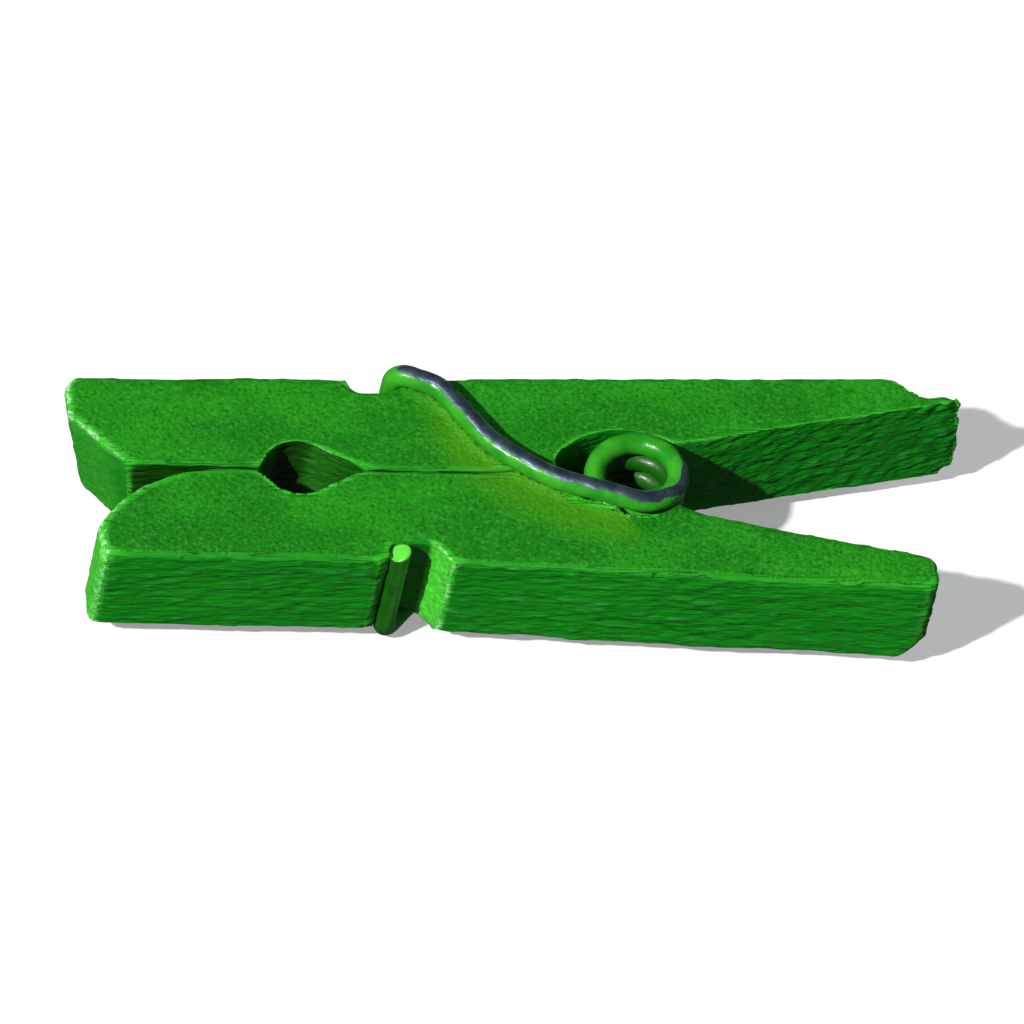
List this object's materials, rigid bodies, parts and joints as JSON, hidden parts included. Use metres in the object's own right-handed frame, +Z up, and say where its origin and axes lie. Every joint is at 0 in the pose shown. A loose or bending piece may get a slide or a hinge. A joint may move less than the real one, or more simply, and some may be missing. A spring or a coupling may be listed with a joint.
{
  "type": "clothespin",
  "caption": "Small painted wooden spring clothespin: two levers held by one coiled wire that snaps the jaws shut on a line, cloth or card.",
  "frame": {"origin": "on the surface that the pin lies on, under the middle of its box", "axes": "+X from the jaws to the handles, +Y from the near lever to the far lever, +Z up along the coil's axis"},
  "size_m": [0.045, 0.0134, 0.0083],
  "materials": {
    "painted_wood": "satin green paint over rough-sawn wood",
    "painted_wire": "gloss green paint worn through to dark steel"
  },
  "bodies": {
    "near_lever": {"near_lever": "painted_wood"},
    "far_lever": {"far_lever": "painted_wood"},
    "spring": {"torsion_spring": "painted_wire"}
  },
  "joints": [
    {"name": "jaw_hinge", "type": "hinge", "parent": "near_lever", "child": "far_lever", "pos_m": [0.0058, 0.00002, 0.00415], "axis": [0, 0, -1], "range_deg": [0, 34], "stiffness_Nm_per_rad": 0.01, "springref_deg": -17.19, "deforming": ["torsion_spring"]},
    {"name": "spring_turn", "type": "hinge", "parent": "near_lever", "child": "spring", "pos_m": [0.0058, 0.00002, 0.00415], "axis": [0, 0, -1], "range_deg": [0, 17]}
  ],
  "couplings": [
    {"joint": "spring_turn", "follows": "jaw_hinge", "ratio": 0.5}
  ]
}
